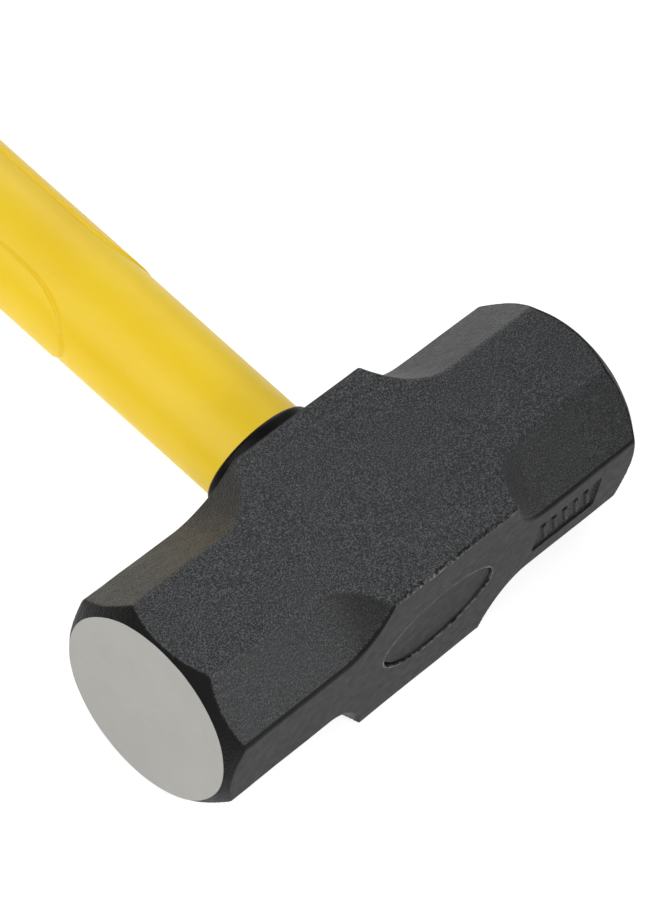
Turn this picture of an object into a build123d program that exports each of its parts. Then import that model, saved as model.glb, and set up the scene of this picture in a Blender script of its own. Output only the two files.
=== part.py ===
"""A double-faced sledgehammer with a bonded fibreglass handle.

Frame: the head lies on its lower cheek. +Z points up, out of the upper cheek. X runs along the head
from one striking face to the other. +Y runs along the handle, away from the head. The origin is on the
lower cheek, straight below the middle of the eye. All sizes are in millimetres.
"""

import os
from math import sqrt

from build123d import *

# Head: a bar whose two polls are cut to octagons, with a square-cornered block left round the eye
head_length = 161.0
head_height = 60.0
head_width = 57.4
block_length = 48.0
poll_edge_cut = 15.8
top_scoop_radius = 16.6
handle_scoop_radius = 23.4
face_diameter = 56.4
forged_edge_radius = 0.8

# Eye: an oval hole that widens from the handle side to the top face
eye_top_length = 42.4
eye_top_width = 25.4
eye_mouth_length = 33.0
eye_mouth_width = 24.0

# Cast resin in the eye
resin_recess = 0.6
resin_over_core = 4.0

# Sunken panel on the top face near one striking face, with raised ribs on its floor
panel_from_face = 15.6
panel_length = 25.6
panel_width = 12.8
panel_depth = 0.9
rib_count = 5
rib_pitch = 4.4
rib_thickness = 1.6
rib_length = 8.0
rib_rise = 0.6
rib_slant = 20.0

# Handle: an oval jacket moulded on an oval core
overall_length = 890.0
core_length = 25.0
core_width = 19.0
core_end_cover = 10.0
jacket_head_length = 35.8
jacket_head_width = 28.0
jacket_swell_length = 36.6
jacket_swell_width = 28.6
jacket_swell_distance = 150.0
jacket_tail_length = 33.6
jacket_tail_width = 26.4

# Raised side panels of the jacket, either side of a plain strip; distances are from the head
strip_width = 23.0
side_panel_rise = 0.5
side_panel_tip = 65.0
side_panel_shoulder = 81.0
side_panel_corner_radius = 7.0

# Collar: the ring that closes the joint between the head and the handle
collar_height = 9.0
collar_wall = 1.3
collar_rim_radius = 0.9

# Grip: a rubber sleeve with grooves and a flared, closed butt
grip_length = 230.0
grip_wall = 2.6
grip_flare = 4.0
grip_flare_halfway = 1.3
grip_flare_length = 45.0
grip_lip_radius = 1.2
butt_thickness = 7.0
butt_edge_radius = 5.0
groove_count = 9
groove_pitch = 15.0
groove_width = 4.0
groove_depth = 0.9
groove_start = 28.0

# Places worked out from the sizes above
half_length = head_length / 2
half_height = head_height / 2
half_block = block_length / 2
axis_height = head_width / 2
edge_distance = (half_height + axis_height) / sqrt(2)
facet_distance = edge_distance - poll_edge_cut / sqrt(2)
resin_top = -half_height + resin_recess
core_top = resin_top + resin_over_core
butt_end = overall_length - half_height
jacket_end = butt_end - butt_thickness
core_end = jacket_end - core_end_cover
grip_start = butt_end - grip_length
flare_start = butt_end - grip_flare_length
swell_place = half_height + jacket_swell_distance
panel_middle = half_length - panel_from_face - panel_length / 2

os.makedirs("parts", exist_ok=True)


def across(y):
    """The plane across the handle at a distance y along it, with the head's X as its own X."""
    return Plane(origin=(0, y, axis_height), x_dir=(1, 0, 0), z_dir=(0, 1, 0))


def on_top_face(x, depth):
    """A plane facing out of the head's top face, at a place along X and a depth below that face."""
    return Plane(origin=(x, -half_height + depth, axis_height), x_dir=(1, 0, 0), z_dir=(0, -1, 0))


def oval_loft(sections):
    """A solid through ovals across the handle, each given as (y, length in X, width in Z)."""
    with BuildPart(mode=Mode.PRIVATE) as body:
        for y, length, width in sections:
            with BuildSketch(across(y)):
                Ellipse(length / 2, width / 2)
        loft()
    return body.part


def scoop_cutter(end, side, cheek):
    """The bar that cuts one long edge of one poll flat and runs out in a scoop at the block.

    end is the sign of the striking face along X, side the edge's sign along Y, cheek its sign along Z.
    """
    radius = handle_scoop_radius if side > 0 else top_scoop_radius
    rise = edge_distance - facet_distance
    run = sqrt(radius**2 - (radius - rise) ** 2)
    outside = poll_edge_cut
    cut_plane = Plane(
        origin=(0, 0, axis_height),
        x_dir=(end, 0, 0),
        z_dir=(0, -end * cheek, end * side),
    )
    with BuildPart(mode=Mode.PRIVATE) as cutter:
        with BuildSketch(cut_plane):
            with BuildLine():
                scoop = TangentArc(
                    (half_block + run, facet_distance), (half_block, edge_distance), tangent=(-1, 0)
                )
                Polyline(
                    scoop @ 1,
                    (half_block, edge_distance + outside),
                    (half_length + outside, edge_distance + outside),
                    (half_length + outside, facet_distance),
                    scoop @ 0,
                )
            make_face()
        extrude(amount=head_height, both=True)
    return cutter.part


def ground_envelope():
    """The turned shape that the grinder leaves: round flat faces with a 45 degree bevel behind them."""
    reach = half_height + axis_height
    bevel = reach - face_diameter / 2
    with BuildPart(mode=Mode.PRIVATE) as envelope:
        with BuildSketch(Plane(origin=(0, 0, axis_height), x_dir=(1, 0, 0), z_dir=(0, 0, 1))):
            with BuildLine():
                Polyline(
                    (-half_length, 0),
                    (-half_length, face_diameter / 2),
                    (-half_length + bevel, reach),
                    (half_length - bevel, reach),
                    (half_length, face_diameter / 2),
                    (half_length, 0),
                    close=True,
                )
            make_face()
        revolve(axis=Axis((0, 0, axis_height), (1, 0, 0)))
    return envelope.part


def side_panels(sections):
    """The two raised panels of the jacket: a slightly larger oval less the plain strip between them."""
    larger = [(y, length + 2 * side_panel_rise, width + 2 * side_panel_rise) for y, length, width in sections]
    raised = oval_loft(larger)
    edge = jacket_swell_length / 2 + side_panel_rise
    outside = jacket_swell_length
    shoulder_place = half_height + side_panel_shoulder
    tip_place = half_height + side_panel_tip
    with BuildPart(mode=Mode.PRIVATE) as panels:
        add(raised)
        with BuildSketch(Plane.XY) as strip:
            with BuildLine():
                Polyline(
                    (0, grip_start + grip_wall),
                    (strip_width / 2, grip_start + grip_wall),
                    (strip_width / 2, shoulder_place),
                    (edge, tip_place),
                    (outside, tip_place),
                    (outside, 0),
                    (0, 0),
                    close=True,
                )
            make_face()
            corner = strip.vertices().sort_by_distance((strip_width / 2, shoulder_place, 0))[0]
            fillet(corner, radius=side_panel_corner_radius)
            mirror(about=Plane.YZ)
        extrude(amount=head_width, mode=Mode.SUBTRACT)
    return panels.part


jacket_sections = [
    (half_height, jacket_head_length, jacket_head_width),
    (swell_place, jacket_swell_length, jacket_swell_width),
    (grip_start, jacket_tail_length, jacket_tail_width),
]
eye_sections = [
    (-half_height, eye_top_length, eye_top_width),
    (half_height, eye_mouth_length, eye_mouth_width),
]
eye = oval_loft(eye_sections)
jacket_body = oval_loft(jacket_sections)
jacket_panels = side_panels(jacket_sections)
scoops = [scoop_cutter(end, side, cheek) for end in (-1, 1) for side in (-1, 1) for cheek in (-1, 1)]
envelope = ground_envelope()

# Head: forged bar with octagonal polls, ground faces and rounded edges, then the eye and the sunken panel
with BuildPart() as head:
    with BuildSketch(Plane.XY):
        Rectangle(head_length, head_height)
    extrude(amount=head_width)
    add(scoops, mode=Mode.SUBTRACT)
    add(envelope, mode=Mode.INTERSECT)
    fillet(head.edges(), radius=forged_edge_radius)
    add(eye, mode=Mode.SUBTRACT)
    with BuildSketch(on_top_face(panel_middle, 0)):
        Rectangle(panel_length, panel_width)
    extrude(amount=-panel_depth, mode=Mode.SUBTRACT)
    with BuildSketch(on_top_face(panel_middle, panel_depth)):
        with GridLocations(rib_pitch, 0, rib_count, 1):
            Rectangle(rib_thickness, rib_length, rotation=rib_slant)
    extrude(amount=rib_rise)
head.part.label = "head"

# Fibreglass core: one straight oval rod from inside the eye to near the butt
with BuildPart() as fibreglass_core:
    with BuildSketch(across(core_top)):
        Ellipse(core_length / 2, core_width / 2)
    extrude(amount=core_end - core_top)
fibreglass_core.part.label = "fibreglass_core"

# Eye resin: fills the eye round the core, a little below the top face
with BuildPart() as eye_resin:
    add(eye)
    split(bisect_by=across(resin_top), keep=Keep.TOP)
    add(fibreglass_core.part, mode=Mode.SUBTRACT)
eye_resin.part.label = "eye_resin"

# Handle jacket: moulded on the core, seated on the head's handle side, necked down under the grip
with BuildPart() as handle_jacket:
    add(jacket_body)
    add(jacket_panels)
    with BuildSketch(across(grip_start)):
        Ellipse(jacket_tail_length / 2, jacket_tail_width / 2)
    extrude(amount=jacket_end - grip_start)
    add(fibreglass_core.part, mode=Mode.SUBTRACT)
handle_jacket.part.label = "handle_jacket"

# Collar: an oval ring on the head's handle side, with a rounded rim
with BuildPart() as collar:
    with BuildSketch(across(half_height)):
        Ellipse(jacket_head_length / 2 + collar_wall, jacket_head_width / 2 + collar_wall)
    extrude(amount=collar_height)
    rim = collar.faces().sort_by(Axis.Y)[-1].edges()
    fillet(rim, radius=collar_rim_radius)
    add(jacket_body, mode=Mode.SUBTRACT)
collar.part.label = "collar"

# Grip: an oval sleeve that flares to a closed butt, with grooves round it
sleeve_length = jacket_tail_length + 2 * grip_wall
sleeve_width = jacket_tail_width + 2 * grip_wall
butt_length = sleeve_length + 2 * grip_flare
butt_width = sleeve_width + 2 * grip_flare
with BuildPart() as grip:
    with BuildSketch(across(grip_start)):
        Ellipse(sleeve_length / 2, sleeve_width / 2)
    extrude(amount=flare_start - grip_start)
    with BuildSketch(across(flare_start)):
        Ellipse(sleeve_length / 2, sleeve_width / 2)
    with BuildSketch(across((flare_start + butt_end) / 2)):
        Ellipse(sleeve_length / 2 + grip_flare_halfway, sleeve_width / 2 + grip_flare_halfway)
    with BuildSketch(across(butt_end)):
        Ellipse(butt_length / 2, butt_width / 2)
    loft()
    fillet(grip.faces().sort_by(Axis.Y)[-1].edges(), radius=butt_edge_radius)
    fillet(grip.faces().sort_by(Axis.Y)[0].edges(), radius=grip_lip_radius)
    for groove in range(groove_count):
        with BuildSketch(across(grip_start + groove_start + groove * groove_pitch)):
            Ellipse(sleeve_length / 2 + groove_depth, sleeve_width / 2 + groove_depth)
            Ellipse(sleeve_length / 2 - groove_depth, sleeve_width / 2 - groove_depth, mode=Mode.SUBTRACT)
        extrude(amount=groove_width, mode=Mode.SUBTRACT)
    with BuildSketch(across(grip_start)):
        Ellipse(jacket_tail_length / 2, jacket_tail_width / 2)
    extrude(amount=jacket_end - grip_start, mode=Mode.SUBTRACT)
grip.part.label = "grip"

for piece in (head, fibreglass_core, eye_resin, handle_jacket, collar, grip):
    export_step(piece.part, f"parts/{piece.part.label}.step")
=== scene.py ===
import math

import bmesh
import bpy
import numpy as np
from mathutils import Matrix, Vector, noise


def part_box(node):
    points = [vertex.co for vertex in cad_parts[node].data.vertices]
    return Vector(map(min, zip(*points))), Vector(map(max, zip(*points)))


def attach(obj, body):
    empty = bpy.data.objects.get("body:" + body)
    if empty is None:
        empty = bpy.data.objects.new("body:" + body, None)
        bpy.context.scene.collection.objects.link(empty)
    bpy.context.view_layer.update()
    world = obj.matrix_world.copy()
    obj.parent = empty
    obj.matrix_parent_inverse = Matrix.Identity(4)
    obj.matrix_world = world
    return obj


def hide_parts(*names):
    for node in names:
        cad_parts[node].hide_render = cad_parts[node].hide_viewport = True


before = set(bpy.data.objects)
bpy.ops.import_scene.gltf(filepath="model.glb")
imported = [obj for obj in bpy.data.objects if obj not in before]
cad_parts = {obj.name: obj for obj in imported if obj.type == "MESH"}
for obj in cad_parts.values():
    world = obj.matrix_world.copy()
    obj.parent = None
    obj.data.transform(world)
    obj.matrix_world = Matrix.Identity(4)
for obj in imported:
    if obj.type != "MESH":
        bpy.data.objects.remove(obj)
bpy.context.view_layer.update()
MM = 0.001

# Sizes of the forging that its box doesn't give. The eye is given as half length and half width.
poll_edge_cut = 15.8 * MM
top_scoop_radius = 16.6 * MM
handle_scoop_radius = 23.4 * MM
block_half = 24.0 * MM
face_radius = 28.2 * MM
eye_top = (21.2 * MM, 12.7 * MM)
eye_mouth = (16.5 * MM, 12.0 * MM)
panel_size = (25.6 * MM, 12.8 * MM)
panel_from_face = 15.6 * MM
panel_depth = 0.9 * MM
panel_grid = 0.16 * MM
panel_corner = 0.9 * MM
rib_count = 5
rib_pitch = 4.4 * MM
rib_half_length = 4.0 * MM
rib_rise = 0.6 * MM
rib_slant = math.radians(20)
rib_foot_half = 1.05 * MM
rib_crest_half = 0.55 * MM

# How the forging was made: the spacing of its rings, its forged edges and its uneven skin
ring_spacing = 0.42 * MM
block_edge = 0.25 * MM
poll_edge_extra = 0.55 * MM
bevel_edge = 0.18 * MM
skin_depth = 0.28 * MM
dimple_depth = 0.08 * MM
rim_wobble = 0.25 * MM
rim_chatter = 0.09 * MM

# Sizes of the handle, collar and grip that their boxes don't give, as in the CAD model
jacket_head = (35.8 * MM, 28.0 * MM)
jacket_tail = (33.6 * MM, 26.4 * MM)
swell_distance = 150.0 * MM
collar_wall = 1.3 * MM
grip_wall = 2.6 * MM
grip_flare = 4.0 * MM
grip_flare_length = 45.0 * MM
grip_lip = 1.2 * MM
butt_edge = 5.0 * MM
groove_depth = 0.9 * MM
groove_pitch = 15.0 * MM
first_groove = 30.0 * MM
groove_count = 9

# The jacket narrows under the grip, where it can't be seen
hidden_tail_share = 0.88
under_grip_overlap = 3 * MM

# Sizes of the jacket's raised side panels, as in the CAD model
strip_half = 11.5 * MM
panel_tip = 65.0 * MM
panel_shoulder = 81.0 * MM
panel_rise = 0.5 * MM

head_low, head_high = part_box("head")
half_length = (head_high.x - head_low.x) / 2
half_height = (head_high.y - head_low.y) / 2
half_width = (head_high.z - head_low.z) / 2
axis_height = (head_high.z + head_low.z) / 2
collar_low, collar_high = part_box("collar")
grip_low, grip_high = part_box("grip")
jacket_low, jacket_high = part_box("handle_jacket")
resin_low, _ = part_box("eye_resin")
core_low, core_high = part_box("fibreglass_core")
core_size = ((core_high.x - core_low.x) / 2, (core_high.z - core_low.z) / 2)
panel_centre = half_length - panel_from_face - panel_size[0] / 2
panel_floor_y = panel_depth - half_height


# ---------------------------------------------------------------- shaping helpers

def smooth_min(a, b, width):
    """The smaller of a and b, with the corner between them rounded over about width."""
    blend = np.clip(0.5 + 0.5 * (b - a) / width, 0, 1)
    return b + (a - b) * blend - width * blend * (1 - blend)


def smooth_step(low, high, value):
    t = np.clip((value - low) / (high - low), 0, 1)
    return t * t * (3 - 2 * t)


def noise_at(points, size, seed=0.0):
    """Perlin noise from about -1 to 1 at each point, with lumps of about the given size."""
    offset = Vector((seed * 7.31, seed * 3.77, seed * 5.13))
    values = [noise.noise(Vector(p) / size + offset) for p in points.reshape(-1, 3)]
    return np.array(values).reshape(points.shape[:-1])


def skin_of_rings(name, rings):
    """A closed mesh through rings of points, an array of (ring, point, xyz), with a fan at each end."""
    rings = np.asarray(rings)
    count = rings.shape[1]
    points = rings.reshape(-1, 3)
    columns = np.arange(count)
    following = (columns + 1) % count
    starts = np.arange(len(rings) - 1)[:, None] * count
    upper_starts = starts + count
    corners = [starts + columns, starts + following, upper_starts + following, upper_starts + columns]
    quads = np.stack(corners, axis=-1).reshape(-1, 4)
    mesh = bpy.data.meshes.new(name)
    middle_start = points[:count].mean(0)
    middle_end = points[-count:].mean(0)
    vertices = np.vstack([points, middle_start, middle_end])
    last = len(rings) * count - count
    fan_start = [(int(following[i]), int(columns[i]), len(points)) for i in range(count)]
    fan_end = [(last + int(columns[i]), last + int(following[i]), len(points) + 1) for i in range(count)]
    mesh.from_pydata(vertices.tolist(), [], quads.tolist() + fan_start + fan_end)
    mesh.polygons.foreach_set("use_smooth", [True] * len(mesh.polygons))
    mesh.update()
    piece = bpy.data.objects.new(name, mesh)
    bpy.context.scene.collection.objects.link(piece)
    return piece


def outward(piece):
    """Turns every face of a closed mesh outwards."""
    shape = bmesh.new()
    shape.from_mesh(piece.data)
    bmesh.ops.recalc_face_normals(shape, faces=shape.faces)
    shape.to_mesh(piece.data)
    shape.free()


def combine(piece, tool, operation):
    """Applies a boolean, DIFFERENCE or UNION, with a tool mesh and removes the tool."""
    modifier = piece.modifiers.new("combine", "BOOLEAN")
    modifier.operation = operation
    modifier.object = tool
    modifier.solver = "EXACT"
    bpy.context.view_layer.update()
    graph = bpy.context.evaluated_depsgraph_get()
    made = bpy.data.meshes.new_from_object(piece.evaluated_get(graph))
    piece.modifiers.clear()
    piece.data = made
    bpy.data.objects.remove(tool)


def sharpen(piece, angle):
    """Marks the edges sharper than an angle, so that smooth shading stops at them."""
    shape = bmesh.new()
    shape.from_mesh(piece.data)
    for edge in shape.edges:
        edge.smooth = not (len(edge.link_faces) == 2 and edge.calc_face_angle(0) > angle)
    for face in shape.faces:
        face.smooth = True
    shape.to_mesh(piece.data)
    shape.free()


def vertex_points(piece):
    points = np.zeros(len(piece.data.vertices) * 3)
    piece.data.vertices.foreach_get("co", points)
    return points.reshape(-1, 3)


def paint(piece, name, values):
    """Stores one number for each vertex, for a material to read."""
    attribute = piece.data.attributes.new(name, "FLOAT", "POINT")
    attribute.data.foreach_set("value", np.asarray(values, np.float32))


# ---------------------------------------------------------------- the head

EDGE_DISTANCE = (half_height + half_width) / math.sqrt(2)
FACET_DISTANCE = EDGE_DISTANCE - poll_edge_cut / math.sqrt(2)


def facet_distance(x, radius):
    """Distance from the head's axis to the cut on one long edge: flat on the poll, a scoop at the block."""
    rise = EDGE_DISTANCE - FACET_DISTANCE
    run = math.sqrt(radius**2 - (radius - rise) ** 2)
    tangent = block_half + run
    into = np.clip(tangent - np.abs(x), 0, radius)
    scoop = FACET_DISTANCE + radius - np.sqrt(radius**2 - into**2)
    return scoop + np.where(np.abs(x) < tangent - radius, radius, 0)


def ray_to_plane(angle, direction, distance):
    """How far a ray at an angle round the axis goes before it meets a plane, or a large number."""
    facing = np.cos(angle - direction)
    return np.where(facing > 0.05, distance / np.maximum(facing, 0.05), 1.0)


def make_head():
    """The forging, ring by ring along X, with soft forged edges, uneven skin and hand-ground bevels."""
    columns = 440
    angle = np.linspace(0, 2 * math.pi, columns, endpoint=False)[None, :]
    fine = np.arange(0, half_length, ring_spacing)
    x = np.unique(np.concatenate([-fine, fine, [-half_length, half_length]]))[:, None]
    quarter = math.pi / 2
    reach = np.full((x.size, columns), 1.0)
    on_poll = smooth_step(block_half - 1 * MM, block_half + 9 * MM, np.abs(x))
    softness = block_edge + poll_edge_extra * on_poll
    sides = ((0, half_height), (quarter, half_width), (2 * quarter, half_height), (3 * quarter, half_width))
    for direction, distance in sides:
        reach = smooth_min(reach, ray_to_plane(angle, direction, distance), block_edge)
    for turn in range(4):
        direction = quarter * (turn + 0.5)
        radius = handle_scoop_radius if math.cos(direction) > 0 else top_scoop_radius
        reach = smooth_min(reach, ray_to_plane(angle, direction, facet_distance(x, radius)), softness)
    points = np.empty((x.size, columns, 3))
    points[..., 0] = x
    points[..., 1] = reach * np.cos(angle)
    points[..., 2] = reach * np.sin(angle)
    skin = skin_depth * (0.5 + 0.6 * noise_at(points, 20 * MM, 1))
    skin = skin + dimple_depth * (0.5 + 0.5 * noise_at(points, 5 * MM, 2))
    near_face = smooth_step(half_length - 0.3 * MM, half_length - 2.5 * MM, np.abs(x))
    reach = reach - skin * near_face
    rim = np.stack([np.sign(x) * 0.2 + 0 * angle, np.cos(angle) + 0 * x, np.sin(angle) + 0 * x], axis=-1)
    wobble = noise_at(rim, 0.55, 4) * rim_wobble + noise_at(rim, 0.16, 5) * rim_chatter
    slope = 1.0 + 0.12 * noise_at(rim, 0.7, 6)
    depth = half_length - np.abs(x)
    ground = face_radius + wobble + depth * slope
    reach = smooth_min(reach, ground, bevel_edge)
    reach = np.where(depth < 1e-7, face_radius + wobble, reach)
    points[..., 1] = reach * np.cos(angle)
    points[..., 2] = reach * np.sin(angle) + axis_height
    shares = (0.02, 0.3, 0.6, 0.85)
    lows = [points[0] * [1, s, s] + [0, 0, axis_height * (1 - s)] for s in shares]
    highs = [points[-1] * [1, s, s] + [0, 0, axis_height * (1 - s)] for s in reversed(shares)]
    head = skin_of_rings("forged_head", np.concatenate([lows, points, highs]))
    outward(head)
    return head


def oval_tool(name, low, high, low_size, high_size, columns=160):
    """A tapered oval bar along Y, for cutting the eye and the bores. Sizes are half length and half width."""
    angle = np.linspace(0, 2 * math.pi, columns, endpoint=False)
    rings = []
    for y, size in ((low, low_size), (high, high_size)):
        x = size[0] * np.cos(angle)
        z = axis_height + size[1] * np.sin(angle)
        rings.append(np.stack([x, np.full(columns, y), z], -1))
    tool = skin_of_rings(name, rings)
    outward(tool)
    return tool


def rounded_rectangle(half_x, half_z, corner, columns=12):
    """Points round a rectangle with rounded corners, centred on zero."""
    points = []
    for turn, (sx, sz) in enumerate(((1, 1), (-1, 1), (-1, -1), (1, -1))):
        for step in range(columns):
            angle = (turn + step / (columns - 1)) * math.pi / 2
            x = sx * (half_x - corner) + corner * math.cos(angle)
            z = sz * (half_z - corner) + corner * math.sin(angle)
            points.append((x, z))
    return np.array(points)


def panel_tool():
    """The tapered pocket of the sunken panel on the top face."""
    rings = []
    for depth, grow in ((-1.0 * MM, 0.35 * MM), (panel_depth + 0.3 * MM, -0.25 * MM)):
        outline = rounded_rectangle(panel_size[0] / 2 + grow, panel_size[1] / 2 + grow, panel_corner)
        y = np.full(len(outline), -half_height + depth)
        rings.append(np.stack([outline[:, 0] + panel_centre, y, outline[:, 1] + axis_height], -1))
    tool = skin_of_rings("panel_tool", rings)
    outward(tool)
    return tool


def panel_slab():
    """The floor of the sunken panel, a slab to join to the forging, stippled and with plain slanted ribs."""
    u = np.arange(-panel_size[0] / 2, panel_size[0] / 2, panel_grid)
    w = np.arange(-panel_size[1] / 2, panel_size[1] / 2, panel_grid)
    grid_u, grid_w = np.meshgrid(u, w)
    height = np.zeros_like(grid_u)
    for place in range(rib_count):
        from_rib = grid_u - (place - (rib_count - 1) / 2) * rib_pitch
        across = from_rib * math.cos(rib_slant) + grid_w * math.sin(rib_slant)
        along = grid_w * math.cos(rib_slant) - from_rib * math.sin(rib_slant)
        side = smooth_step(rib_foot_half, rib_crest_half, np.abs(across))
        end = smooth_step(rib_half_length + 0.3 * MM, rib_half_length - 0.3 * MM, np.abs(along))
        height = np.maximum(height, side * end * rib_rise)
    flat = np.stack([grid_u, 0 * grid_u, grid_w], -1)
    pits = noise_at(flat, 0.7 * MM, 8) * 0.09 * MM + noise_at(flat, 1.9 * MM, 9) * 0.05 * MM
    height = height * (1 + 0.1 * noise_at(flat, 2.5 * MM, 10)) + pits
    edge = np.minimum(panel_size[0] / 2 - np.abs(grid_u), panel_size[1] / 2 - np.abs(grid_w))
    height += smooth_step(panel_corner, 0, edge) * 0.3 * MM
    upper = np.stack([grid_u + panel_centre, panel_floor_y - height, grid_w + axis_height], -1)
    lower = upper.copy()
    lower[..., 1] = panel_floor_y + MM
    rows, columns = grid_u.shape
    index = np.arange(rows * columns).reshape(rows, columns)
    face = np.stack([index[:-1, :-1], index[:-1, 1:], index[1:, 1:], index[1:, :-1]], -1).reshape(-1, 4)
    rim = np.concatenate([index[0, :-1], index[:-1, -1], index[-1, :0:-1], index[:0:-1, 0]])
    following = np.roll(rim, -1)
    wall = np.stack([rim, following, following + index.size, rim + index.size], -1)
    mesh = bpy.data.meshes.new("panel_slab")
    points = np.concatenate([upper.reshape(-1, 3), lower.reshape(-1, 3)])
    faces = np.concatenate([face, face[:, ::-1] + index.size, wall])
    mesh.from_pydata(points.tolist(), [], faces.tolist())
    slab = bpy.data.objects.new("panel_slab", mesh)
    bpy.context.scene.collection.objects.link(slab)
    outward(slab)
    return slab


head = make_head()
eye_tool = oval_tool("eye_tool", -half_height - MM, half_height + MM, eye_top, eye_mouth)
combine(head, eye_tool, "DIFFERENCE")
combine(head, panel_tool(), "DIFFERENCE")
combine(head, panel_slab(), "UNION")
sharpen(head, math.radians(32))


def head_masks(points):
    """Where the coat differs or shade is painted, from 0 to 1 at each point: one array for each name.

    Apart from the panel, the masks are the same at both ends and on both cheeks. The mask for the edge cuts
    and the panel floor is painted shade that darkens them.
    """
    x, y, z = points[:, 0], points[:, 1], points[:, 2] - axis_height
    radial = np.maximum(np.hypot(y, z), MM)
    from_face = half_length - np.abs(x)
    panel = (np.abs(x - panel_centre) < panel_size[0] / 2) & (np.abs(z) < panel_size[1] / 2)
    panel = panel & (y > 0.15 * MM - half_height) & (y < 0)
    fade_start, fade_end = half_height - 1.6 * MM, half_height - 0.5 * MM
    top = smooth_step(fade_start, fade_end, -y) * (1 - panel)
    seat = smooth_step(fade_start, fade_end, y)
    to_corner = np.abs(np.abs(z) - half_width) + np.abs(y + half_height)
    on_block = np.abs(x) < block_half + MM
    below_cheek = half_width - np.abs(z)
    scoops = smooth_step(block_half + 17 * MM, block_half + 5 * MM, np.abs(x))
    below_side = half_height - np.abs(y)
    cut = smooth_step(0.4 * MM, 1.2 * MM, np.minimum(below_cheek, below_side)) * (radial > 25 * MM)
    cut = cut * (np.abs(x) > block_half)
    # Painted shade in the eight edge cuts, strongest where they run out in scoops by the block
    painted_scoop_shade = cut * (0.4 + 0.5 * scoops)
    ground = smooth_step(-0.4 * MM, 0.4 * MM, radial - face_radius - from_face + 0.55 * MM)
    return {
        "plain": np.clip(top + 0.7 * seat, 0, 1),
        "worn": (1 - smooth_step(0.1 * MM, 0.95 * MM, to_corner)) * on_block,
        # Painted shade: darker coat in the edge cuts and on the sunken panel floor
        "painted_recess_shade": np.maximum(painted_scoop_shade * (1 - ground), 0.8 * panel),
        "bevel": ground * (from_face < 6 * MM),
        "panel": 1.0 * panel,
    }


for mask, values in head_masks(vertex_points(head)).items():
    paint(head, mask, values)


# ---------------------------------------------------------------- the resin in the eye

def make_resin():
    """A cast oval fill, a little below the top face, with an uneven edge that has shrunk from the eye."""
    columns = 240
    angle = np.linspace(0, 2 * math.pi, columns, endpoint=False)
    round_points = np.stack([np.cos(angle), np.sin(angle), 0 * angle], -1)
    shrink = 0.05 * MM + 0.05 * MM * (1 + noise_at(round_points, 0.4, 11))
    uneven = 1 + 0.5 * noise_at(round_points, 0.12, 15)
    shrink = shrink + 0.9 * MM * uneven * np.exp(-(((angle - math.radians(215)) / 0.5) ** 2))
    surface = resin_low.y
    dish = ((0.002, 0.25), (0.25, 0.25), (0.5, 0.22), (0.75, 0.16), (0.9, 0.08), (0.965, 0.0))
    rim = ((0.985, 0.05), (1.0, 0.35))
    rings = []
    for share, sink in dish + rim:
        a = (eye_top[0] - shrink) * share
        b = (eye_top[1] - shrink) * share
        ring = np.stack([a * np.cos(angle), 0 * angle, b * np.sin(angle)], -1)
        lumps = noise_at(ring, 4 * MM, 12) * 0.07 * MM + noise_at(ring, 13 * MM, 13) * 0.12 * MM
        ring[:, 1] = surface + sink * MM + lumps + 0.1 * MM
        ring[:, 2] += axis_height
        rings.append(ring)
    span = half_height * 2
    for depth in (1.5, 4, 20, 40, 59.3):
        share = depth * MM / span
        clearance = shrink * max(0, 1 - depth / 6)
        a = eye_top[0] + (eye_mouth[0] - eye_top[0]) * share - clearance - 0.05 * MM
        b = eye_top[1] + (eye_mouth[1] - eye_top[1]) * share - clearance - 0.05 * MM
        y = 0 * angle + surface + depth * MM
        rings.append(np.stack([a * np.cos(angle), y, b * np.sin(angle) + axis_height], -1))
    piece = skin_of_rings("cast_resin", rings)
    outward(piece)
    return piece


resin = make_resin()


# ---------------------------------------------------------------- the handle

def jacket_size(y):
    """Half length in X and half width in Z of the jacket's plain oval at a place along the handle.

    Each is a parabola through the sizes at the head, at the swell and under the grip.
    """
    along = y - half_height
    beyond = along * (along - swell_distance)
    length = jacket_head[0] + 0.00533 * along - 0.02 * beyond
    width = jacket_head[1] + 0.004 * along - 0.0148 * beyond
    return length / 2, width / 2


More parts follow.
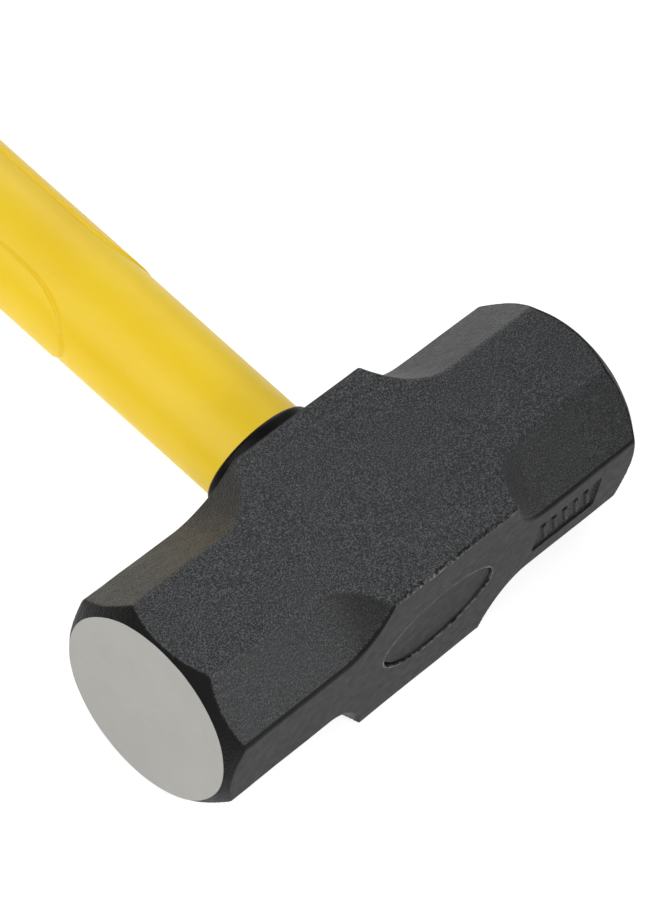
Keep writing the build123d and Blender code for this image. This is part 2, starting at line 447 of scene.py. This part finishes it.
def make_jacket():
    """The moulded jacket, with its two raised side panels and the soft step round them."""
    columns = 420
    angle = np.linspace(0, 2 * math.pi, columns, endpoint=False)[None, :]
    under_grip = grip_low.y + under_grip_overlap
    fine_start = half_height + 62 * MM
    fine_end = half_height + 92 * MM
    near_head = np.arange(jacket_low.y, fine_start, 1.5 * MM)
    round_tips = np.arange(fine_start, fine_end, 0.3 * MM)
    along_handle = np.arange(fine_end, under_grip, 3 * MM)
    y = np.concatenate([near_head, round_tips, along_handle, [under_grip]])[:, None]
    half_x, half_z = jacket_size(y)
    x = half_x * np.cos(angle)
    z = half_z * np.sin(angle)
    along = y - half_height
    side = np.abs(x)
    edge_x = jacket_high.x
    lean = (panel_shoulder - panel_tip) / (edge_x - strip_half)
    from_strip = (side - strip_half) * 1.15
    from_taper = (along - panel_shoulder + (side - strip_half) * lean) / math.hypot(1, lean)
    inside = smooth_min(from_strip, from_taper, 4 * MM)
    lift = panel_rise * smooth_step(-0.1 * MM, 0.6 * MM, inside)
    lift = lift - 0.32 * MM * np.exp(-(((inside + 0.1 * MM) / (0.42 * MM)) ** 2))
    normal_x, normal_z = np.cos(angle) / half_x, np.sin(angle) / half_z
    size = np.hypot(normal_x, normal_z)
    points = np.empty(x.shape + (3,))
    points[..., 0], points[..., 1], points[..., 2] = x, y + 0 * x, z
    waves = noise_at(points * [1, 0.35, 1], 11 * MM, 14) * 0.05 * MM
    lift = lift + waves - 0.05 * MM
    points[..., 0] += lift * normal_x / size
    points[..., 2] += lift * normal_z / size + axis_height
    tail = points[-1] * [hidden_tail_share, 1, 1]
    tail[:, 2] = (tail[:, 2] - axis_height) * hidden_tail_share + axis_height
    tail_end = tail + [0, jacket_high.y - under_grip, 0]
    piece = skin_of_rings("moulded_jacket", np.concatenate([points, tail[None], tail_end[None]]))
    outward(piece)
    return piece


def proud_oval(angle, y, proud, half_x, half_z):
    """A ring of points at a distance proud of an oval across the handle."""
    normal_x, normal_z = np.cos(angle) / half_x, np.sin(angle) / half_z
    size = np.hypot(normal_x, normal_z)
    x = half_x * np.cos(angle) + proud * normal_x / size
    z = half_z * np.sin(angle) + proud * normal_z / size
    return np.stack([x, 0 * angle + y, z + axis_height], -1)


def oval_sleeve(name, profile):
    """A ring swept round the jacket. The profile is (y, distance proud of it), from inside to inside."""
    count = 256
    angle = np.linspace(0, 2 * math.pi, count, endpoint=False)
    rings = np.array([proud_oval(angle, y, proud, *jacket_size(y)) for y, proud in profile])
    total = len(rings)
    quads = []
    for ring in range(total):
        here = ring * count
        there = (ring + 1) % total * count
        for i in range(count):
            beside = (i + 1) % count
            quads.append((here + i, here + beside, there + beside, there + i))
    mesh = bpy.data.meshes.new(name)
    mesh.from_pydata(rings.reshape(-1, 3).tolist(), [], quads)
    piece = bpy.data.objects.new(name, mesh)
    bpy.context.scene.collection.objects.link(piece)
    outward(piece)
    sharpen(piece, math.radians(50))
    return piece


def make_collar():
    """The collar: a rolled rim, a slightly bellied wall and a thin foot on the head."""
    low, high = collar_low.y, collar_high.y
    foot = low + 0.4 * MM
    rim = 1.1 * MM
    profile = [(low, -0.3 * MM), (low, collar_wall), (foot, collar_wall)]
    for step in range(1, 8):
        share = step / 8
        waist = 0.12 * MM * math.sin(math.pi * share)
        profile.append((foot + (high - low - 1.6 * MM) * share, collar_wall - waist))
    for step in range(9):
        turn = math.pi / 2 * step / 8
        profile.append((high - rim + rim * math.sin(turn), collar_wall - rim + rim * math.cos(turn)))
    profile += [(high - 0.15 * MM, 0.06 * MM), (high - 0.8 * MM, -0.02 * MM), (high - 1.5 * MM, -0.3 * MM)]
    return oval_sleeve("collar_ring", profile)


def grip_profile():
    """The grip's outline as (y, distance proud of the jacket's tail), from the lip to the butt."""
    low, high = grip_low.y, grip_high.y
    profile = [(low, -1.5 * MM)]
    for step in range(9):
        turn = math.pi / 2 * step / 8
        y = low + grip_lip - grip_lip * math.cos(turn)
        profile.append((y, grip_wall - grip_lip + grip_lip * math.sin(turn)))
    for place in np.arange(low + 2 * MM, high - butt_edge, 0.7 * MM):
        groove = (place - low - first_groove) / groove_pitch
        near = abs(groove - round(groove)) * groove_pitch
        grooved = -0.3 <= groove <= groove_count - 0.7
        cut = groove_depth * float(smooth_step(2.4 * MM, 1.2 * MM, near)) * grooved
        flare = grip_flare * max(0, (place - high + grip_flare_length) / grip_flare_length) ** 2.2
        profile.append((place, grip_wall + flare - cut))
    widest = profile[-1][1] + 0.2 * MM
    for step in range(1, 11):
        turn = math.pi / 2 * step / 10
        y = high - butt_edge + butt_edge * math.sin(turn)
        profile.append((y, widest - butt_edge + butt_edge * math.cos(turn)))
    return profile


def make_grip():
    """The rubber sleeve: a rolled lip, rounded grooves and a flared, slightly dished butt."""
    columns = 256
    angle = np.linspace(0, 2 * math.pi, columns, endpoint=False)
    half_x, half_z = jacket_tail[0] / 2, jacket_tail[1] / 2
    rings = [proud_oval(angle, y, proud, half_x, half_z) for y, proud in grip_profile()]
    centre = np.array([0, 0, axis_height])
    last = rings[-1]
    for share in (0.92, 0.8, 0.6, 0.35, 0.1):
        ring = (last - centre) * [share, 1, share] + centre
        ring[:, 1] = last[:, 1] - 0.25 * MM * (1 - smooth_step(0.7, 0.9, np.full(columns, share)))
        rings.append(ring)
    piece = skin_of_rings("rubber_grip", rings)
    outward(piece)
    return piece


jacket = make_jacket()
collar = make_collar()
grip = make_grip()

# Bore the pieces out for the ones inside them
combine(grip, make_jacket(), "DIFFERENCE")
sharpen(grip, math.radians(50))
resin_bore = oval_tool("core_in_resin", core_low.y, half_height + MM, core_size, core_size)
combine(resin, resin_bore, "DIFFERENCE")
jacket_bore = oval_tool("core_in_jacket", half_height - MM, core_high.y, core_size, core_size)
combine(jacket, jacket_bore, "DIFFERENCE")


# ---------------------------------------------------------------- materials

class Shader:
    """A material and a short way to add its nodes."""

    def __init__(self, name):
        self.material = bpy.data.materials.new(name)
        self.material.use_nodes = True
        self.tree = self.material.node_tree
        self.surface = next(n for n in self.tree.nodes if n.type == "BSDF_PRINCIPLED")
        self.place = self.node("ShaderNodeTexCoord").outputs["Object"]

    def put(self, socket, value):
        if isinstance(value, bpy.types.NodeSocket):
            self.tree.links.new(value, socket)
        else:
            socket.default_value = value

    def node(self, kind, settings=None, **inputs):
        made = self.tree.nodes.new(kind)
        for key, value in (settings or {}).items():
            setattr(made, key, value)
        for key, value in inputs.items():
            self.put(made.inputs[key], value)
        return made

    def noise(self, size, detail=3.0, roughness=0.55, stretch=None):
        place = self.place
        if stretch:
            place = self.node("ShaderNodeMapping", Vector=place, Scale=stretch).outputs[0]
        made = self.node("ShaderNodeTexNoise", Vector=place, Scale=1 / size, Detail=detail)
        self.put(made.inputs["Roughness"], roughness)
        return made.outputs["Fac"]

    def cells(self, size, smooth=0.6):
        settings = {"feature": "SMOOTH_F1"}
        made = self.node("ShaderNodeTexVoronoi", settings, Vector=self.place, Scale=1 / size)
        self.put(made.inputs["Smoothness"], smooth)
        return made.outputs["Distance"]

    def mask(self, name):
        return self.node("ShaderNodeAttribute", {"attribute_name": name}).outputs["Fac"]

    def math(self, operation, a, b=0.0):
        made = self.node("ShaderNodeMath", {"operation": operation})
        self.put(made.inputs[0], a)
        self.put(made.inputs[1], b)
        return made.outputs[0]

    def ramp(self, value, low, high, start=0.0, end=1.0):
        made = self.node("ShaderNodeMapRange", Value=value)
        for key, number in (("From Min", low), ("From Max", high), ("To Min", start), ("To Max", end)):
            self.put(made.inputs[key], number)
        return made.outputs[0]

    def blend(self, factor, a, b):
        made = self.node("ShaderNodeMix", {"data_type": "RGBA"})
        self.put(made.inputs[0], factor)
        self.put(made.inputs[6], a)
        self.put(made.inputs[7], b)
        return made.outputs[2]

    def eye_rim(self):
        """One along the eye's rim on the top face, fading to nothing 0.35 mm away from it, where a highlight
        is painted.
        """
        place = self.node("ShaderNodeSeparateXYZ", Vector=self.place).outputs
        a = self.math("POWER", self.math("MULTIPLY", place["X"], 1 / eye_top[0]), 2.0)
        from_axis = self.math("SUBTRACT", place["Z"], axis_height)
        b = self.math("POWER", self.math("MULTIPLY", from_axis, 1 / eye_top[1]), 2.0)
        from_centre = self.math("SQRT", self.math("ADD", a, b))
        off = self.math("ABSOLUTE", self.math("SUBTRACT", from_centre, 1.0))
        near = self.ramp(off, 0.0, 0.35 * MM / eye_top[1], 1.0, 0.0)
        return self.math("MULTIPLY", near, self.ramp(place["Y"], -half_height + MM, -half_height, 0.0, 1.0))

    def bump(self, height, distance, strength=1.0, normal=None):
        made = self.node("ShaderNodeBump", Height=height, Distance=distance, Strength=strength)
        if normal is not None:
            self.put(made.inputs["Normal"], normal)
        return made.outputs[0]

    def finish(self, colour, roughness, normal, **constants):
        self.put(self.surface.inputs["Base Color"], colour)
        self.put(self.surface.inputs["Roughness"], roughness)
        self.put(self.surface.inputs["Normal"], normal)
        for key, value in constants.items():
            self.surface.inputs[key.replace("_", " ")].default_value = value
        return self.material


def rgb(red, green, blue):
    """A colour from the values that a screen shows, 0 to 255."""
    def linear(value):
        value /= 255
        return value / 12.92 if value <= 0.04045 else ((value + 0.055) / 1.055) ** 2.4
    return (linear(red), linear(green), linear(blue), 1.0)


def powder_coat(name, shine):
    """Black textured powder coat, plain on the trimmed strips, rubbed bright along the sharpest edges, with
    light specks painted in as glints, a painted highlight round the eye's rim and painted shade in the edge
    cuts and the sunken panel.
    """
    s = Shader(name)
    grain = s.math("ADD", s.noise(0.6 * MM, 3.0, 0.65), s.math("MULTIPLY", s.cells(0.8 * MM), 0.5))
    broad = s.noise(9 * MM, 4.0, 0.6)
    plain = s.ramp(s.math("ADD", s.mask("plain"), s.math("MULTIPLY", broad, 0.12)), 0.35, 0.85)
    colour = s.blend(s.ramp(broad, 0.3, 0.7), rgb(14, 15, 17), rgb(22, 23, 25))
    # Light specks painted into the coat's colour: painted glints on the grain
    painted_glint = s.ramp(s.noise(0.42 * MM, 2.0, 0.6), 0.45, 0.72)
    # Painted shade: darker coat and dimmer painted glints in the edge cuts and on the sunken panel floor
    colour = s.blend(s.mask("painted_recess_shade"), colour, rgb(4, 4, 5))
    painted_glint_colour = s.blend(s.mask("painted_recess_shade"), rgb(96, 98, 101), rgb(46, 47, 48))
    colour = s.blend(painted_glint, colour, painted_glint_colour)
    smooth_colour = s.blend(s.ramp(s.noise(5 * MM), 0.3, 0.7), rgb(13, 13, 13), rgb(19, 19, 18))
    colour = s.blend(plain, colour, smooth_colour)
    colour = s.blend(s.mask("bevel"), colour, rgb(12, 11, 10))
    edge_wear_and_rim_highlight = s.math("MULTIPLY", s.mask("worn"), s.ramp(s.noise(1.1 * MM, 4.0, 0.7), 0.42, 0.6))
    # Painted highlight: a light line round the eye's rim on the top face
    rim_highlight = s.math("MULTIPLY", s.eye_rim(), s.ramp(s.noise(1.6 * MM, 4.0, 0.7), 0.4, 0.6))
    edge_wear_and_rim_highlight = s.math("MAXIMUM", edge_wear_and_rim_highlight, rim_highlight)
    # Real wear on the block's edges and the painted highlight on the eye's rim share one light colour
    colour = s.blend(edge_wear_and_rim_highlight, colour, rgb(146, 144, 138))
    roughness = s.ramp(s.noise(3 * MM), 0.2, 0.8, 0.42, 0.56)
    rough_amount = s.ramp(plain, 0.0, 1.0, 1.0, 0.16)
    normal = s.bump(s.math("MULTIPLY", grain, rough_amount), 0.3 * MM, 1.0)
    normal = s.bump(s.noise(3.2 * MM, 3.0), 0.12 * MM, 0.5, normal)
    return s.finish(colour, roughness, normal, IOR=1.5, Specular_IOR_Level=shine)


def ground_steel():
    """Bare ground steel: fine parallel grinding marks and faint spots of tarnish."""
    s = Shader("ground_steel")
    marks = s.noise(0.5 * MM, 4.0, 0.7, stretch=(1, 0.08, 1))
    fine = s.noise(0.25 * MM, 2.0)
    cloud = s.noise(12 * MM, 4.0)
    colour = s.blend(s.ramp(cloud, 0.3, 0.7), rgb(164, 163, 158), rgb(168, 167, 163))
    tarnish = s.math("MULTIPLY", s.ramp(s.noise(2.2 * MM, 5.0, 0.7), 0.6, 0.75), 0.25)
    colour = s.blend(tarnish, colour, rgb(150, 143, 130))
    roughness = s.ramp(marks, 0.2, 0.8, 0.36, 0.52)
    normal = s.bump(s.math("ADD", marks, s.math("MULTIPLY", fine, 0.4)), 0.03 * MM, 0.6)
    return s.finish(colour, roughness, normal, Metallic=1.0)


def resin_fill():
    """Dark satin cast resin with faint clouding."""
    s = Shader("resin_fill")
    cloud = s.noise(6 * MM, 4.0)
    colour = s.blend(s.ramp(cloud, 0.3, 0.7), rgb(10, 10, 10), rgb(15, 15, 15))
    roughness = s.ramp(s.noise(2 * MM), 0.2, 0.8, 0.42, 0.55)
    normal = s.bump(s.noise(0.9 * MM, 3.0), 0.05 * MM, 0.5)
    return s.finish(colour, roughness, normal, IOR=1.5, Specular_IOR_Level=0.1)


def yellow_jacket():
    """Moulded yellow plastic: slight flow clouding, fine sheen marks and a little light under the skin."""
    s = Shader("yellow_jacket")
    cloud = s.noise(22 * MM, 4.0, 0.6, stretch=(1, 0.5, 1))
    colour = s.blend(s.ramp(cloud, 0.3, 0.7), rgb(247, 206, 16), rgb(253, 216, 30))
    marks = s.math("MULTIPLY", s.ramp(s.noise(3 * MM, 5.0, 0.7), 0.62, 0.75), 0.2)
    colour = s.blend(marks, colour, rgb(226, 178, 40))
    roughness = s.ramp(s.noise(1.4 * MM, 3.0), 0.2, 0.8, 0.36, 0.48)
    normal = s.bump(s.noise(0.7 * MM, 3.0), 0.02 * MM, 0.5)
    normal = s.bump(s.noise(16 * MM, 2.0), 0.25 * MM, 0.25, normal)
    return s.finish(colour, roughness, normal, IOR=1.49, Subsurface_Weight=0.08, Subsurface_Scale=0.002)


def black_plastic():
    """Semi-gloss black moulded plastic of the collar."""
    s = Shader("black_plastic")
    colour = s.blend(s.ramp(s.noise(4 * MM), 0.3, 0.7), rgb(8, 8, 9), rgb(13, 13, 13))
    roughness = s.ramp(s.noise(1.5 * MM, 4.0), 0.2, 0.8, 0.3, 0.44)
    normal = s.bump(s.noise(0.8 * MM, 3.0), 0.03 * MM, 0.5)
    return s.finish(colour, roughness, normal, IOR=1.5, Specular_IOR_Level=0.12)


def grip_rubber():
    """Matte black rubber with a fine pebbled skin."""
    s = Shader("grip_rubber")
    colour = s.blend(s.ramp(s.noise(7 * MM, 4.0), 0.3, 0.7), rgb(36, 36, 37), rgb(46, 46, 46))
    roughness = s.ramp(s.noise(2 * MM), 0.2, 0.8, 0.62, 0.8)
    normal = s.bump(s.cells(1.1 * MM), 0.2 * MM, 0.6)
    return s.finish(colour, roughness, normal, IOR=1.45)


def glass_rod():
    """Pultruded rod: pale resin with long glass strands."""
    s = Shader("glass_rod")
    strands = s.noise(0.6 * MM, 4.0, 0.7, stretch=(1, 0.02, 1))
    colour = s.blend(s.ramp(strands, 0.3, 0.7), rgb(206, 192, 150), rgb(232, 224, 190))
    normal = s.bump(strands, 0.05 * MM, 0.5)
    return s.finish(colour, s.ramp(strands, 0.2, 0.8, 0.35, 0.55), normal, IOR=1.52)


FLOOR_GLOW = 0.86
WORLD_STRENGTH = 0.28


def studio_floor():
    """A pale lit table, so that the object stands in soft white from all sides."""
    s = Shader("studio_floor")
    colour = s.blend(s.ramp(s.noise(0.4, 2.0), 0.3, 0.7), rgb(150, 150, 150), rgb(156, 156, 156))
    normal = s.bump(s.noise(0.01, 2.0), 0.0001, 0.1)
    return s.finish(colour, 0.85, normal, Emission_Color=(1, 1, 1, 1), Emission_Strength=FLOOR_GLOW)


def dress_head():
    """Gives each face of the head the coat that lies on it, or the bare ground steel."""
    coats = (
        ("coat_grained", 0.4),
        ("coat_plain", 0.12),
        ("coat_bevel", 0.14),
        ("coat_panel", 0.14),
    )
    head.data.materials.clear()
    for name, shine in coats:
        head.data.materials.append(powder_coat(name, shine))
    head.data.materials.append(ground_steel())
    centres = np.array([polygon.center for polygon in head.data.polygons])
    facing_end = np.array([abs(polygon.normal.x) > 0.99 for polygon in head.data.polygons])
    masks = head_masks(centres)
    zone = np.zeros(len(centres), int)
    for index, mask in enumerate(("plain", "bevel", "panel"), start=1):
        zone[masks[mask] > 0.45] = index
    zone[facing_end & (half_length - np.abs(centres[:, 0]) < 0.01 * MM)] = len(coats)
    head.data.polygons.foreach_set("material_index", zone)


dress_head()
resin.data.materials.append(resin_fill())
jacket.data.materials.append(yellow_jacket())
collar.data.materials.append(black_plastic())
grip.data.materials.append(grip_rubber())
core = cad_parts["fibreglass_core"]
core.data.materials.clear()
core.data.materials.append(glass_rod())

for piece, node, slot in (
    (head, "head", "black_coat"),
    (resin, "eye_resin", "resin"),
    (jacket, "handle_jacket", "yellow_plastic"),
    (collar, "collar", "collar_plastic"),
    (grip, "grip", "grip_rubber"),
):
    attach(piece, "root")
    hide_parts(node)


# ---------------------------------------------------------------- stage, lights and camera

def make_floor():
    mesh = bpy.data.meshes.new("studio_floor")
    side = 12.0
    corners = [(-side, -side, 0), (side, -side, 0), (side, side, 0), (-side, side, 0)]
    mesh.from_pydata(corners, [], [(0, 1, 2, 3)])
    table = bpy.data.objects.new("studio_floor", mesh)
    table.location.z = -0.2 * MM
    bpy.context.scene.collection.objects.link(table)
    mesh.materials.append(studio_floor())


def aim(thing, target):
    thing.rotation_mode = "QUATERNION"
    thing.rotation_quaternion = (Vector(target) - thing.location).to_track_quat("-Z", "Y")


def soft_light(name, place, target, size, power, spread=180):
    light = bpy.data.lights.new(name, "AREA")
    light.shape = "RECTANGLE"
    light.size, light.size_y = size
    light.energy = power
    light.spread = math.radians(spread)
    lamp = bpy.data.objects.new(name, light)
    lamp.location = place
    bpy.context.scene.collection.objects.link(lamp)
    aim(lamp, target)


def make_camera():
    """The photograph's view: over the upper cheek, from the near striking face and the top face's side.

    It is a compromise, because the photograph looks stretched upwards and this camera's pixels are square.
    """
    azimuth, elevation, roll = math.radians(-58.5), math.radians(52.69), math.radians(-15.65)
    target = Vector((16.7 * MM, 27.0 * MM, axis_height))
    distance = 1.067
    level_share = math.cos(elevation)
    forward_x = -math.sin(azimuth) * level_share
    forward_y = math.cos(azimuth) * level_share
    forward = Vector((forward_x, forward_y, -math.sin(elevation)))
    data = bpy.data.cameras.new("camera")
    data.lens = 156.6
    data.sensor_width = 36
    data.clip_start, data.clip_end = 0.05, 50
    camera = bpy.data.objects.new("camera", data)
    camera.location = target - forward * distance
    level = forward.to_track_quat("-Z", "Y").to_matrix().to_4x4()
    camera.rotation_mode = "QUATERNION"
    camera.rotation_quaternion = (level @ Matrix.Rotation(-roll, 4, "Z")).to_quaternion()
    bpy.context.scene.collection.objects.link(camera)
    bpy.context.scene.camera = camera


make_floor()
middle = (0, 0.05, 0.03)
soft_light("overhead", (-0.9, 0.1, 1.4), middle, (1.6, 1.6), 17.5)
soft_light("front", (0.1, -0.45, 0.3), (-0.07, -0.02, 0.05), (0.15, 0.15), 0.05, 30)
soft_light("side", (1.1, 1.2, 0.8), (0, 0.15, 0.03), (0.9, 0.9), 8)
make_camera()

world = bpy.data.worlds.new("studio")
world.use_nodes = True
background = world.node_tree.nodes["Background"]
background.inputs["Color"].default_value = (1, 1, 1, 1)
background.inputs["Strength"].default_value = WORLD_STRENGTH
bpy.context.scene.world = world
bpy.context.scene.view_settings.view_transform = "Standard"
